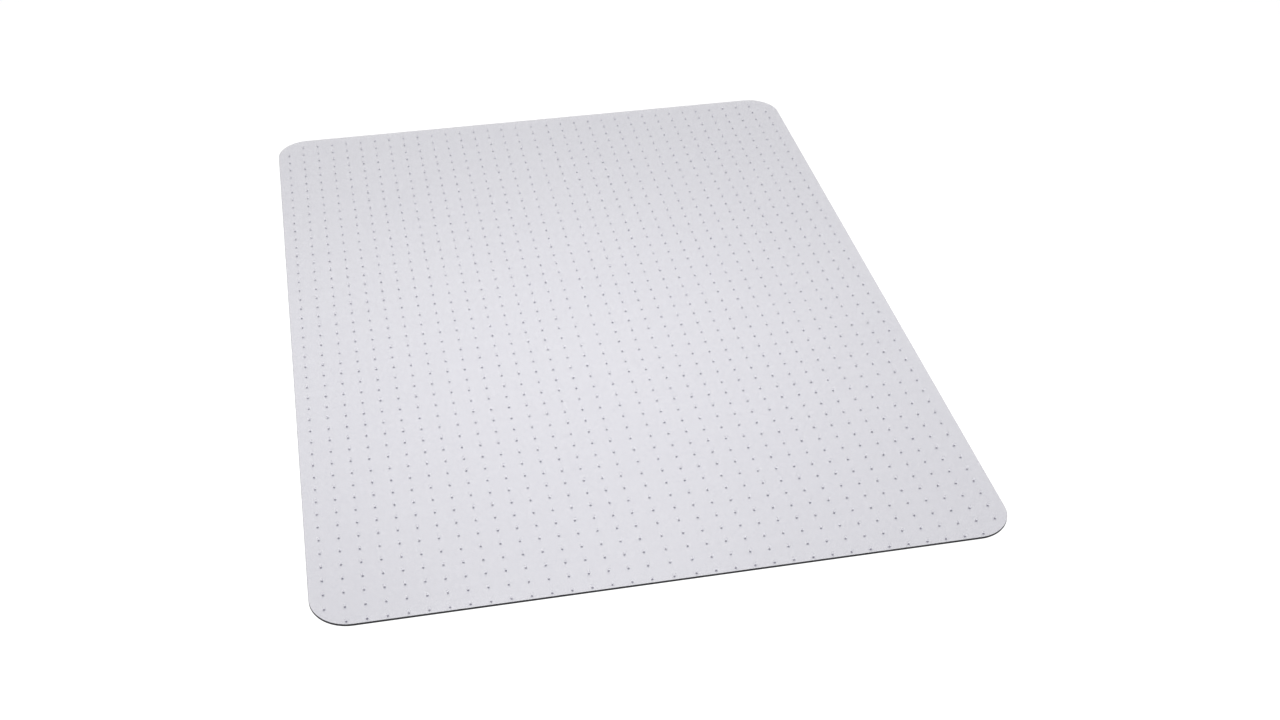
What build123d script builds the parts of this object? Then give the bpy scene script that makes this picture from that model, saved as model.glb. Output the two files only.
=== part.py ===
from build123d import *
import os
from math import floor, hypot

# Chair mat for carpet: one flat rectangular vinyl sheet with round corners and a
# grid of short gripping cleats moulded under it. Millimetres, +Z up, +X to the
# right and +Y to the back. The origin is on the floor plane, which the cleat tips
# touch, under the middle of the sheet.

# Sheet
mat_width = 914.4
mat_length = 1219.2
sheet_thickness = 3.3
corner_radius = 52.0
top_rim_round = 0.5
bottom_rim_round = 0.3

# One cleat: a short blunt stud that tapers from its root on the sheet to a flat tip
cleat_height = 5.0
cleat_root_radius = 2.5
cleat_tip_radius = 1.5

# Cleat grid: a middle column on the centre line and a field of columns on each
# side of it. The middle column stands a little further from its neighbours than
# the columns of a field stand from each other.
column_pitch = 25.65
row_pitch = 25.4
middle_column_gap = 28.85
cleat_edge_clearance = 8.0

# Places that follow from the sizes above
sheet_underside = cleat_height
edge_margin = cleat_edge_clearance + cleat_root_radius
columns_per_field = 1 + floor((mat_width / 2 - edge_margin - middle_column_gap) / column_pitch)
row_count = 1 + floor((mat_length - 2 * edge_margin) / row_pitch)
first_row = -(row_count - 1) * row_pitch / 2
row_places = [first_row + row * row_pitch for row in range(row_count)]


def make_sheet():
    """The flat sheet, with its four corners and both rims rounded."""
    slab = Box(
        mat_width,
        mat_length,
        sheet_thickness,
        align=(Align.CENTER, Align.CENTER, Align.MIN),
    )
    slab = fillet(slab.edges().filter_by(Axis.Z), corner_radius)
    slab = fillet(slab.faces().sort_by(Axis.Z)[-1].edges(), top_rim_round)
    slab = fillet(slab.faces().sort_by(Axis.Z)[0].edges(), bottom_rim_round)
    return Pos(0, 0, sheet_underside) * slab


def make_cleat():
    """One cleat on the Z axis: flat tip at Z = 0, root on the sheet's underside."""
    return Cone(
        cleat_tip_radius,
        cleat_root_radius,
        cleat_height,
        align=(Align.CENTER, Align.CENTER, Align.MIN),
    )


def is_under_sheet(x, y):
    """True where a whole cleat root stands under the sheet, clear of its rounded corners."""
    past_side = abs(x) - (mat_width / 2 - corner_radius)
    past_end = abs(y) - (mat_length / 2 - corner_radius)
    if past_side <= 0 or past_end <= 0:
        return True
    return hypot(past_side, past_end) <= corner_radius - edge_margin


def make_column(cleat, x):
    """A front-to-back column of separate cleats at one place across the mat."""
    return Compound([Pos(x, y, 0) * cleat for y in row_places if is_under_sheet(x, y)])


def make_parts():
    """Every sub-part of the mat, by node name. Field columns are numbered outwards."""
    cleat = make_cleat()
    parts = {"mat_sheet": make_sheet(), "middle_cleat_column": make_column(cleat, 0)}
    for side, direction in (("left", -1), ("right", 1)):
        for number in range(1, columns_per_field + 1):
            x = direction * (middle_column_gap + (number - 1) * column_pitch)
            parts[f"{side}_cleat_column_{number:02d}"] = make_column(cleat, x)
    return parts


os.makedirs("parts", exist_ok=True)
for name, solid in make_parts().items():
    export_step(solid, f"parts/{name}.step")
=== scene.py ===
"""The looks of a clear vinyl chair mat for carpet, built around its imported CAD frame."""

import logging
import math
import random
from dataclasses import dataclass
from enum import Enum

import bmesh
import bpy
from mathutils import Matrix, Quaternion, Vector


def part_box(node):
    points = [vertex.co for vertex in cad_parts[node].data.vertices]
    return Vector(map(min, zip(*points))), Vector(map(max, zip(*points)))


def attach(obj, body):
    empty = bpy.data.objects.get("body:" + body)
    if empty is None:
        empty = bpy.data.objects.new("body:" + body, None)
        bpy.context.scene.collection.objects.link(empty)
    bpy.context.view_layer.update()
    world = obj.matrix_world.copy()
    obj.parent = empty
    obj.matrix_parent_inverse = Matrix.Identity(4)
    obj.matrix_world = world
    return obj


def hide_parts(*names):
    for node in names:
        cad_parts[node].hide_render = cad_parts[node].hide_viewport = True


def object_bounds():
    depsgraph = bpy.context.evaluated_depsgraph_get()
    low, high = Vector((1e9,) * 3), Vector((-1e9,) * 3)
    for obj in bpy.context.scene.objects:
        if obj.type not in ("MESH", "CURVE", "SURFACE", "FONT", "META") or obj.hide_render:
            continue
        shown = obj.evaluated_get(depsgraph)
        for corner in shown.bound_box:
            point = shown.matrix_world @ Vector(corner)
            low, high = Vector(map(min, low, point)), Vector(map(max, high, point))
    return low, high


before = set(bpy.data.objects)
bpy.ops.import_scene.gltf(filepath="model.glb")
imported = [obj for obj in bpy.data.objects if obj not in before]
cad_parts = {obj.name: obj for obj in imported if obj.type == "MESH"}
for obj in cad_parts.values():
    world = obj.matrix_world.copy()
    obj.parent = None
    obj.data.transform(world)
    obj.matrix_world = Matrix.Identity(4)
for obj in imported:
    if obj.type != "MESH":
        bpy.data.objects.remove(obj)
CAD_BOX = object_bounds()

log = logging.getLogger("chair_mat")

BODY = "root"
SHEET_NODE = "mat_sheet"
COLUMN_WORD = "cleat_column"
SEED = 36
SAME_LEVEL = 1e-6
CREASE_ANGLE = math.radians(40)
Colour = tuple[float, float, float]


class Slot(Enum):
    """The record's material slots."""

    CLEAR_VINYL = "clear_vinyl"
    CLEAT_VINYL = "cleat_vinyl"


class SheetFace(Enum):
    """Which finish a face of the sheet takes, as its material index."""

    ROLLING = 0
    CUT = 1


class CleatFace(Enum):
    """Which finish a face of a cleat takes, as its material index."""

    BODY = 0
    # the thin dark disc of painted shade just above the tip
    SHADE_DISC = 1


# ---------------------------------------------------------------- shared effects


class NodeGroup:
    """A shader node group that is built once and placed in each material with its own values."""

    name = "group"

    def tree(self) -> bpy.types.ShaderNodeTree:
        """Finds the group, or builds it the first time.

        Returns:
            The group's node tree.
        """
        known = bpy.data.node_groups.get(self.name)
        if known:
            return known
        made = bpy.data.node_groups.new(self.name, "ShaderNodeTree")
        self.fill(made)
        return made

    def fill(self, tree: bpy.types.ShaderNodeTree) -> None:
        """Makes the group's sockets and nodes."""
        raise NotImplementedError

    def place(self, nodes: bpy.types.Nodes, **values: object) -> bpy.types.ShaderNodeGroup:
        """Puts the group in a material.

        Args:
            nodes: The material's nodes.
            values: The group's inputs, with an underscore for each space.

        Returns:
            The placed group node.
        """
        node = nodes.new("ShaderNodeGroup")
        node.node_tree = self.tree()
        for key, value in values.items():
            node.inputs[key.replace("_", " ")].default_value = value
        return node


def add_socket(
    tree: bpy.types.ShaderNodeTree, name: str, way: str, kind: str, value: object = None
) -> None:
    """Adds one socket to a node group.

    Args:
        tree: The group's node tree.
        name: The socket's name.
        way: INPUT or OUTPUT.
        kind: The socket's type, such as NodeSocketFloat.
        value: The default value, where it has one.
    """
    socket = tree.interface.new_socket(name=name, in_out=way, socket_type=kind)
    if value is not None:
        socket.default_value = value


class SatinGrain(NodeGroup):
    """The fine, even grain that a matt roller leaves on vinyl, over a very slow ripple."""

    name = "satin_grain"

    def fill(self, tree: bpy.types.ShaderNodeTree) -> None:
        """Makes a height from fine cells and a slow ripple, on object coordinates."""
        add_socket(tree, "Grain Size", "INPUT", "NodeSocketFloat", 0.0008)
        add_socket(tree, "Ripple Size", "INPUT", "NodeSocketFloat", 0.2)
        add_socket(tree, "Ripple Share", "INPUT", "NodeSocketFloat", 0.2)
        add_socket(tree, "Height", "OUTPUT", "NodeSocketFloat")
        nodes, links = tree.nodes, tree.links
        given = nodes.new("NodeGroupInput")
        out = nodes.new("NodeGroupOutput")
        place = nodes.new("ShaderNodeTexCoord")
        heights = []
        for size_name, detail in (("Grain Size", 2.0), ("Ripple Size", 1.0)):
            scale = nodes.new("ShaderNodeMath")
            scale.operation = "DIVIDE"
            scale.inputs[0].default_value = 1.0
            links.new(given.outputs[size_name], scale.inputs[1])
            noise = nodes.new("ShaderNodeTexNoise")
            noise.inputs["Detail"].default_value = detail
            links.new(place.outputs["Object"], noise.inputs["Vector"])
            links.new(scale.outputs[0], noise.inputs["Scale"])
            heights.append(noise.outputs["Fac"])
        blend = nodes.new("ShaderNodeMix")
        blend.data_type = "FLOAT"
        links.new(given.outputs["Ripple Share"], blend.inputs["Factor"])
        links.new(heights[0], blend.inputs["A"])
        links.new(heights[1], blend.inputs["B"])
        links.new(blend.outputs["Result"], out.inputs["Height"])


class MilkyDrift(NodeGroup):
    """The faint, slow drift in a clear plastic's milkiness, as a colour."""

    name = "milky_drift"

    def fill(self, tree: bpy.types.ShaderNodeTree) -> None:
        """Mixes two near colours by a slow noise on object coordinates."""
        add_socket(tree, "Colour", "INPUT", "NodeSocketColor", (0.5, 0.5, 0.5, 1.0))
        add_socket(tree, "Drift Colour", "INPUT", "NodeSocketColor", (0.5, 0.5, 0.5, 1.0))
        add_socket(tree, "Drift Scale", "INPUT", "NodeSocketFloat", 4.0)
        add_socket(tree, "Result", "OUTPUT", "NodeSocketColor")
        nodes, links = tree.nodes, tree.links
        given = nodes.new("NodeGroupInput")
        out = nodes.new("NodeGroupOutput")
        place = nodes.new("ShaderNodeTexCoord")
        noise = nodes.new("ShaderNodeTexNoise")
        noise.inputs["Detail"].default_value = 3.0
        blend = nodes.new("ShaderNodeMix")
        blend.data_type = "RGBA"
        links.new(place.outputs["Object"], noise.inputs["Vector"])
        links.new(given.outputs["Drift Scale"], noise.inputs["Scale"])
        links.new(noise.outputs["Fac"], blend.inputs["Factor"])
        links.new(given.outputs["Colour"], blend.inputs["A"])
        links.new(given.outputs["Drift Colour"], blend.inputs["B"])
        links.new(blend.outputs["Result"], out.inputs["Result"])


class CutStreaks(NodeGroup):
    """The fine upright streaks that a cutting die leaves round a sheet's edge, as a mask."""

    name = "cut_streaks"

    def fill(self, tree: bpy.types.ShaderNodeTree) -> None:
        """Stretches a fine noise along Z, on object coordinates."""
        add_socket(tree, "Streak Width", "INPUT", "NodeSocketFloat", 0.0005)
        add_socket(tree, "Stretch", "INPUT", "NodeSocketFloat", 12.0)
        add_socket(tree, "Mask", "OUTPUT", "NodeSocketFloat")
        nodes, links = tree.nodes, tree.links
        given = nodes.new("NodeGroupInput")
        out = nodes.new("NodeGroupOutput")
        place = nodes.new("ShaderNodeTexCoord")
        axes = nodes.new("ShaderNodeSeparateXYZ")
        squash = nodes.new("ShaderNodeMath")
        squash.operation = "DIVIDE"
        joined = nodes.new("ShaderNodeCombineXYZ")
        scale = nodes.new("ShaderNodeMath")
        scale.operation = "DIVIDE"
        scale.inputs[0].default_value = 1.0
        noise = nodes.new("ShaderNodeTexNoise")
        noise.inputs["Detail"].default_value = 2.0
        links.new(place.outputs["Object"], axes.inputs["Vector"])
        links.new(axes.outputs["Z"], squash.inputs[0])
        links.new(given.outputs["Stretch"], squash.inputs[1])
        links.new(axes.outputs["X"], joined.inputs["X"])
        links.new(axes.outputs["Y"], joined.inputs["Y"])
        links.new(squash.outputs[0], joined.inputs["Z"])
        links.new(given.outputs["Streak Width"], scale.inputs[1])
        links.new(joined.outputs["Vector"], noise.inputs["Vector"])
        links.new(scale.outputs[0], noise.inputs["Scale"])
        links.new(noise.outputs["Fac"], out.inputs["Mask"])


# ---------------------------------------------------------------------- finishes


@dataclass(frozen=True)
class Finish:
    """A plastic with a drifting colour and a satin grain.

    Attributes:
        name: The material's name.
        colour: Its base colour.
        drift: The near colour that it drifts towards.
        alpha: How much of what is behind one wall it hides.
        roughness: The surface's roughness.
        specular: The strength of its reflection of what faces it.
        grain_size: The grain's spacing, in metres.
        grain_height: The grain's height, in metres.
        ripple_share: How much of the height is the slow ripple's.
        ior: The plastic's index of refraction.
    """

    name: str
    colour: Colour
    drift: Colour
    alpha: float = 1.0
    roughness: float = 0.4
    specular: float = 0.5
    grain_size: float = 0.0008
    grain_height: float = 0.00001
    ripple_share: float = 0.1
    ior: float = 1.53

    def material(self) -> bpy.types.Material:
        """Builds the material.

        Returns:
            The finished material.
        """
        made = bpy.data.materials.new(self.name)
        made.use_nodes = True
        nodes, links = made.node_tree.nodes, made.node_tree.links
        shader = nodes["Principled BSDF"]
        shader.inputs["Roughness"].default_value = self.roughness
        shader.inputs["Specular IOR Level"].default_value = self.specular
        shader.inputs["IOR"].default_value = self.ior
        shader.inputs["Alpha"].default_value = self.alpha
        drift = MilkyDrift().place(
            nodes, Colour=(*self.colour, 1.0), Drift_Colour=(*self.drift, 1.0)
        )
        grain = SatinGrain().place(
            nodes, Grain_Size=self.grain_size, Ripple_Share=self.ripple_share
        )
        bump = nodes.new("ShaderNodeBump")
        bump.inputs["Distance"].default_value = self.grain_height
        links.new(grain.outputs["Height"], bump.inputs["Height"])
        links.new(bump.outputs["Normal"], shader.inputs["Normal"])
        links.new(self.vary(nodes, links, drift.outputs["Result"]), shader.inputs["Base Color"])
        return made

    def vary(
        self, nodes: bpy.types.Nodes, links: bpy.types.NodeLinks, colour: bpy.types.NodeSocket
    ) -> bpy.types.NodeSocket:
        """Leaves the colour and opacity as they are, for a finish that varies no further."""
        return colour


@dataclass(frozen=True)
class PaintedEdgeShade(Finish):
    """Painted shade on a clear sheet's cut edge: a near-black colour for the dark look that light
    gives the clear edge seen from outside, which is only a light haze when seen from within.

    Attributes:
        inner_colour: The colour seen from within the sheet.
        inner_alpha: The opacity seen from within the sheet.
        streak_colour: The colour of its palest streaks.
        streak_width: The usual width of a streak, in metres.
        streak_start: The mask's value where a streak begins to show.
        streak_full: The mask's value where it shows in full.
    """

    inner_colour: Colour = (0.3, 0.3, 0.33)
    inner_alpha: float = 0.35
    streak_colour: Colour = (0.045, 0.045, 0.05)
    streak_width: float = 0.0006
    streak_start: float = 0.5
    streak_full: float = 0.75

    def vary(
        self, nodes: bpy.types.Nodes, links: bpy.types.NodeLinks, colour: bpy.types.NodeSocket
    ) -> bpy.types.NodeSocket:
        """Streaks the edge, and clears it where it is seen from within the sheet.

        Args:
            nodes: The material's nodes.
            links: The material's links.
            colour: The finish's own colour.

        Returns:
            The colour seen from either side.
        """
        streaks = CutStreaks().place(nodes, Streak_Width=self.streak_width)
        reach = nodes.new("ShaderNodeMapRange")
        reach.interpolation_type = "SMOOTHSTEP"
        reach.inputs["From Min"].default_value = self.streak_start
        reach.inputs["From Max"].default_value = self.streak_full
        streaked = nodes.new("ShaderNodeMix")
        streaked.data_type = "RGBA"
        streaked.inputs["B"].default_value = (*self.streak_colour, 1.0)
        links.new(streaks.outputs["Mask"], reach.inputs["Value"])
        links.new(reach.outputs["Result"], streaked.inputs["Factor"])
        links.new(colour, streaked.inputs["A"])
        side = nodes.new("ShaderNodeNewGeometry")
        blend = nodes.new("ShaderNodeMix")
        blend.data_type = "RGBA"
        blend.inputs["B"].default_value = (*self.inner_colour, 1.0)
        links.new(side.outputs["Backfacing"], blend.inputs["Factor"])
        links.new(streaked.outputs["Result"], blend.inputs["A"])
        opacity = nodes.new("ShaderNodeMapRange")
        opacity.inputs["To Min"].default_value = self.alpha
        opacity.inputs["To Max"].default_value = self.inner_alpha
        links.new(side.outputs["Backfacing"], opacity.inputs["Value"])
        links.new(opacity.outputs["Result"], nodes["Principled BSDF"].inputs["Alpha"])
        return blend.outputs["Result"]


@dataclass(frozen=True)
class ClearFinish(Finish):
    """Clear vinyl that shows best round its outline.

    Attributes:
        rim_alpha: The opacity where the surface turns away.
        rim_start: How far it has turned, from 0 to 1, where the opacity begins to rise.
    """

    rim_alpha: float = 0.4
    rim_start: float = 0.8

    def vary(
        self, nodes: bpy.types.Nodes, links: bpy.types.NodeLinks, colour: bpy.types.NodeSocket
    ) -> bpy.types.NodeSocket:
        """Thickens the finish where the surface turns away.

        Args:
            nodes: The material's nodes.
            links: The material's links.
            colour: The finish's own colour.

        Returns:
            The same colour.
        """
        turn = nodes.new("ShaderNodeLayerWeight")
        opacity = nodes.new("ShaderNodeMapRange")
        opacity.interpolation_type = "SMOOTHSTEP"
        opacity.inputs["From Min"].default_value = self.rim_start
        opacity.inputs["To Min"].default_value = self.alpha
        opacity.inputs["To Max"].default_value = self.rim_alpha
        links.new(turn.outputs["Facing"], opacity.inputs["Value"])
        links.new(opacity.outputs["Result"], nodes["Principled BSDF"].inputs["Alpha"])
        return colour


ROLLING_VINYL = Finish(
    name="rolling_vinyl",
    colour=(0.20, 0.193, 0.26),
    drift=(0.225, 0.217, 0.275),
    alpha=0.345,
    roughness=0.36,
    grain_size=0.0011,
    grain_height=0.00004,
)
# painted shade: near-black paint on the sheet's cut edge, standing in for the dark look that light
# gives a clear edge
CUT_EDGE_SHADE = PaintedEdgeShade(
    name="cut_edge_shade",
    colour=(0.012, 0.012, 0.015),
    drift=(0.018, 0.018, 0.02),
    alpha=1.0,
    roughness=0.5,
    specular=0.15,
)
CLEAT_VINYL = ClearFinish(
    name="cleat_vinyl",
    colour=(0.97, 0.97, 0.99),
    drift=(0.93, 0.93, 0.95),
    alpha=0.06,
    roughness=0.25,
)
# painted shade: near-black paint on the thin discs just above the clear cleats' tips, standing in
# for the dark spot that light gives each tip
PAINTED_TIP_SHADE = Finish(
    name="painted_tip_shade",
    colour=(0.03, 0.03, 0.035),
    drift=(0.05, 0.05, 0.055),
    alpha=1.0,
    roughness=0.5,
)


# --------------------------------------------------------------------- the object


def finished_piece(
    bm: bmesh.types.BMesh, name: str, materials: list[bpy.types.Material]
) -> bpy.types.Object:
    """Turns a bmesh into a piece that rides on the mat.

    Args:
        bm: The piece's mesh, which is freed.
        name: The piece's name.
        materials: Its materials, in the order of its faces' indices.

    Returns:
        The new object.
    """
    bmesh.ops.recalc_face_normals(bm, faces=bm.faces)
    for face in bm.faces:
        face.smooth = True
    mesh = bpy.data.meshes.new(name)
    bm.to_mesh(mesh)
    bm.free()
    mesh.set_sharp_from_angle(angle=CREASE_ANGLE)
    for material in materials:
        mesh.materials.append(material)
    piece = bpy.data.objects.new(name, mesh)
    bpy.context.scene.collection.objects.link(piece)
    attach(piece, BODY)
    return piece


@dataclass
class VinylSheet:
    """The flat sheet: round corners, softened rims and a cut edge painted dark as shade.

    Attributes:
        corner_radius: Radius of the four corners.
        top_rim: Round along the upper rim.
        bottom_rim: Round along the lower rim.
        corner_segments: Facets in one corner.
        rim_segments: Facets across a rim.
        root_gap: Room left for the cleats' roots, so that no two faces lie in one place.
        flat_above: How upright a normal is on the upper faces that keep the rolling finish.
        flat_below: The same for the lower faces, as a negative height.
    """

    corner_radius: float = 0.052
    top_rim: float = 0.0005
    bottom_rim: float = 0.0003
    corner_segments: int = 32
    rim_segments: int = 4
    root_gap: float = 0.00002
    flat_above: float = 0.85
    flat_below: float = -0.9

    def build(self) -> bpy.types.Object:
        """Builds the sheet inside its CAD node's box.

        Returns:
            The sheet's object.
        """
        low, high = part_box(SHEET_NODE)
        low = Vector((low.x, low.y, low.z + self.root_gap))
        bm = bmesh.new()
        size = Matrix.Diagonal((*(high - low), 1.0))
        bmesh.ops.create_cube(bm, matrix=Matrix.Translation((low + high) / 2) @ size)
        upright = [e for e in bm.edges if abs(e.verts[0].co.z - e.verts[1].co.z) > SAME_LEVEL]
        self.round_over(bm, upright, self.corner_radius, self.corner_segments)
        for level, rim in ((high.z, self.top_rim), (low.z, self.bottom_rim)):
            edges = [e for e in bm.edges if all(abs(v.co.z - level) < SAME_LEVEL for v in e.verts)]
            self.round_over(bm, edges, rim, self.rim_segments)
        # the cut edge's faces take the painted shade, and the flat faces keep the rolling finish
        for face in bm.faces:
            edge = self.flat_below <= face.normal.z <= self.flat_above
            face.material_index = (SheetFace.CUT if edge else SheetFace.ROLLING).value
        materials = [ROLLING_VINYL.material(), CUT_EDGE_SHADE.material()]
        piece = finished_piece(bm, "vinyl_sheet", materials)
        # clear vinyl passes the light on, so what lies under it stays lit up to the edge
        piece.visible_shadow = False
        piece.visible_diffuse = False
        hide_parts(SHEET_NODE)
        return piece

    @staticmethod
    def round_over(
        bm: bmesh.types.BMesh, edges: list[bmesh.types.BMEdge], radius: float, segments: int
    ) -> None:
        """Rounds some edges.

        Args:
            bm: The mesh.
            edges: The edges to round.
            radius: The round's radius.
            segments: Its number of facets.
        """
        bmesh.ops.bevel(
            bm,
            geom=edges,
            offset=radius,
            segments=segments,
            profile=0.5,
            affect="EDGES",
            material=-1,
            clamp_overlap=True,
        )


@dataclass
class CleatColumn:
    """One front-to-back column of separate clear cleats, each with a thin dark disc of painted
    shade just above its tip, in place of one CAD node.

    Attributes:
        node: The CAD node that it stands for.
        materials: The cleats' shared materials, in CleatFace order.
        dice: Where the cleats' small differences come from.
        pitch: Distance from one cleat to the next.
        tip_radius: Radius of the flat tip.
        tip_round: Round along the tip's rim.
        facets: Facets round one cleat.
        shade_disc_level: How far the disc of painted shade is above the tip.
        shade_disc_radius: Radius of the disc of painted shade.
        shade_disc_depth: Thickness of the disc of painted shade.
        shade_disc_taper: Radius of the disc's lower end, as a share of its radius.
        shade_disc_spread: How much one disc of painted shade differs from the next.
    """

    node: str
    materials: list[bpy.types.Material]
    dice: random.Random
    pitch: float = 0.0254
    tip_radius: float = 0.0015
    tip_round: float = 0.00015
    facets: int = 12
    shade_disc_level: float = 0.001
    shade_disc_radius: float = 0.00152
    shade_disc_depth: float = 0.0001
    shade_disc_taper: float = 0.9
    shade_disc_spread: float = 0.05

    def build(self) -> bpy.types.Object:
        """Builds the column from its node's box.

        Returns:
            The column's object.
        """
        low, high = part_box(self.node)
        root_radius = (high.x - low.x) / 2
        first, last = low.y + root_radius, high.y - root_radius
        count = 1 + round((last - first) / self.pitch)
        places = [first + (last - first) * row / (count - 1) for row in range(count)]
        bm = bmesh.new()
        for place in places:
            foot = Vector(((low.x + high.x) / 2, place, low.z))
            self.add_frustum(bm, foot, high.z - low.z, self.tip_radius, root_radius)
        rims = [e for e in bm.edges if all(v.co.z < low.z + SAME_LEVEL for v in e.verts)]
        VinylSheet.round_over(bm, rims, self.tip_round, 1)
        bodies = set(bm.faces)
        # a thin dark disc just above each tip: painted shade for the dark spot that light gives
        # the tip of a clear cleat
        for place in places:
            foot = Vector(((low.x + high.x) / 2, place, low.z))
            foot.z += self.shade_disc_level
            share = self.dice.uniform(1 - self.shade_disc_spread, 1 + self.shade_disc_spread)
            radius = self.shade_disc_radius * share
            self.add_frustum(bm, foot, self.shade_disc_depth, radius * self.shade_disc_taper, radius)
        for face in bm.faces:
            face.material_index = (CleatFace.BODY if face in bodies else CleatFace.SHADE_DISC).value
        name = self.node.replace("cleat_column", "cleats")
        piece = finished_piece(bm, name, self.materials)
        # clear cleats leave no shadow that shows, so the discs of painted shade at their tips are
        # the only dark spots
        piece.visible_shadow = False
        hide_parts(self.node)
        return piece

    def add_frustum(
        self,
        bm: bmesh.types.BMesh,
        foot: Vector,
        height: float,
        low_radius: float,
        high_radius: float,
    ) -> None:
        """Adds a truncated cone to a mesh.

        Args:
            bm: The mesh.
            foot: The middle of its lower end.
            height: Its height.
            low_radius: The radius of its lower end.
            high_radius: The radius of its upper end.
        """
        bmesh.ops.create_cone(
            bm,
            cap_ends=True,
            cap_tris=False,
            segments=self.facets,
            radius1=low_radius,
            radius2=high_radius,
            depth=height,
            matrix=Matrix.Translation(foot + Vector((0.0, 0.0, height / 2))),
        )


# --------------------------------------------------------------------- the studio


@dataclass(frozen=True)
class StudioFloor:
    """A plain pale floor, just under the cleats' tips.

    Attributes:
        half_width: Half its side.
        drop: How far it lies under the object's lowest point.
        colour: Its colour.
        roughness: Its roughness.
        specular: The strength of its reflection.
    """

    half_width: float = 15.0
    drop: float = 0.0002
    colour: Colour = (0.92, 0.92, 0.92)
    roughness: float = 0.9
    specular: float = 0.2

    def build(self) -> bpy.types.Object:
        """Builds the floor.

        Returns:
            The floor's object.
        """
        bm = bmesh.new()
        place = Matrix.Translation((0.0, 0.0, CAD_BOX[0].z - self.drop))
        bmesh.ops.create_grid(bm, x_segments=4, y_segments=4, size=self.half_width, matrix=place)
        mesh = bpy.data.meshes.new("studio_floor")
        bm.to_mesh(mesh)
        bm.free()
        floor = bpy.data.objects.new("studio_floor", mesh)
        bpy.context.scene.collection.objects.link(floor)
        material = bpy.data.materials.new("pale_floor")
        material.use_nodes = True
        shader = material.node_tree.nodes["Principled BSDF"]
        shader.inputs["Base Color"].default_value = (*self.colour, 1.0)
        shader.inputs["Roughness"].default_value = self.roughness
        shader.inputs["Specular IOR Level"].default_value = self.specular
        mesh.materials.append(material)
        return floor


@dataclass(frozen=True)
class SoftBox:
    """One soft square lamp, aimed at a point.

    Attributes:
        name: Its name.
        place: Where it stands.
        aim: What it points at.
        side: The length of its side.
        power: Its power in watts.
    """

    name: str
    place: Vector
    aim: Vector
    side: float
    power: float

    def build(self) -> bpy.types.Object:
        """Builds the lamp.

        Returns:
            The lamp's object.
        """
        light = bpy.data.lights.new(self.name, "AREA")
        light.shape = "SQUARE"
        light.size = self.side
        light.energy = self.power
        lamp = bpy.data.objects.new(self.name, light)
        lamp.location = self.place
        lamp.rotation_euler = (self.aim - self.place).to_track_quat("-Z", "Y").to_euler()
        bpy.context.scene.collection.objects.link(lamp)
        return lamp


@dataclass(frozen=True)
class StudioCamera:
    """The camera, placed round a point on the mat's top face.

    Attributes:
        azimuth: Degrees to the left of the mat's front.
        elevation: Degrees above the floor.
        roll: Degrees that it is turned about its own axis.
        distance: How far it stands from the point.
        aim: The point, across and along the mat.
        lens: Its focal length in millimetres.
        sensor: The width of its sensor in millimetres.
        shift: How far the frame is moved to the right, as a share of its width.
    """

    azimuth: float = 11.123
    elevation: float = 36.8226
    roll: float = 0.083
    distance: float = 2.446
    aim: tuple[float, float] = (0.0103, -0.1425)
    lens: float = 46.41
    sensor: float = 36.0
    shift: float = 0.02055

    def build(self) -> bpy.types.Object:
        """Builds the camera and makes it the scene's own.

        Returns:
            The camera's object.
        """
        target = Vector((*self.aim, CAD_BOX[1].z))
        turn, rise = math.radians(self.azimuth), math.radians(self.elevation)
        back = Vector(
            (-math.sin(turn) * math.cos(rise), -math.cos(turn) * math.cos(rise), math.sin(rise))
        )
        data = bpy.data.cameras.new("studio_camera")
        data.lens = self.lens
        data.sensor_width = self.sensor
        data.shift_x = self.shift
        data.dof.use_dof = False
        camera = bpy.data.objects.new("studio_camera", data)
        camera.location = target + back * self.distance
        roll = Quaternion((0.0, 0.0, 1.0), math.radians(self.roll))
        camera.rotation_euler = ((-back).to_track_quat("-Z", "Y") @ roll).to_euler()
        bpy.context.scene.collection.objects.link(camera)
        bpy.context.scene.camera = camera
        return camera


@dataclass(frozen=True)
class Studio:
    """The floor, the lamps, the white surround and the camera.

    Attributes:
        surround: The strength of the white surround.
        lamps: The soft lamps.
    """

    surround: float = 1.08
    lamps: tuple[SoftBox, ...] = (
        SoftBox(
            name="overhead_lamp",
            place=Vector((-0.08, -0.12, 0.88)),
            aim=Vector((-0.08, -0.12, 0.0)),
            side=0.55,
            power=3.3,
        ),
    )

    def build(self) -> None:
        """Builds everything round the mat."""
        StudioFloor().build()
        for lamp in self.lamps:
            lamp.build()
        world = bpy.data.worlds.new("white_surround")
        world.use_nodes = True
        glow = world.node_tree.nodes["Background"]
        glow.inputs["Color"].default_value = (1.0, 1.0, 1.0, 1.0)
        glow.inputs["Strength"].default_value = self.surround
        scene = bpy.context.scene
        scene.world = world
        scene.view_settings.view_transform = "Standard"
        StudioCamera().build()


def main() -> None:
    """Builds the mat piece by piece, then the studio round it."""
    logging.basicConfig(level=logging.INFO, format="%(name)s: %(message)s")
    sheet = VinylSheet().build()
    log.info("%s: %d faces", sheet.name, len(sheet.data.polygons))
    cleat_materials = [CLEAT_VINYL.material(), PAINTED_TIP_SHADE.material()]
    dice = random.Random(SEED)
    for node in sorted(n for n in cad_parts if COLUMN_WORD in n):
        column = CleatColumn(node, cleat_materials, dice).build()
        log.info("%s: %d faces", column.name, len(column.data.polygons))
    Studio().build()
    log.info("studio ready")


if __name__ == "__main__":
    main()
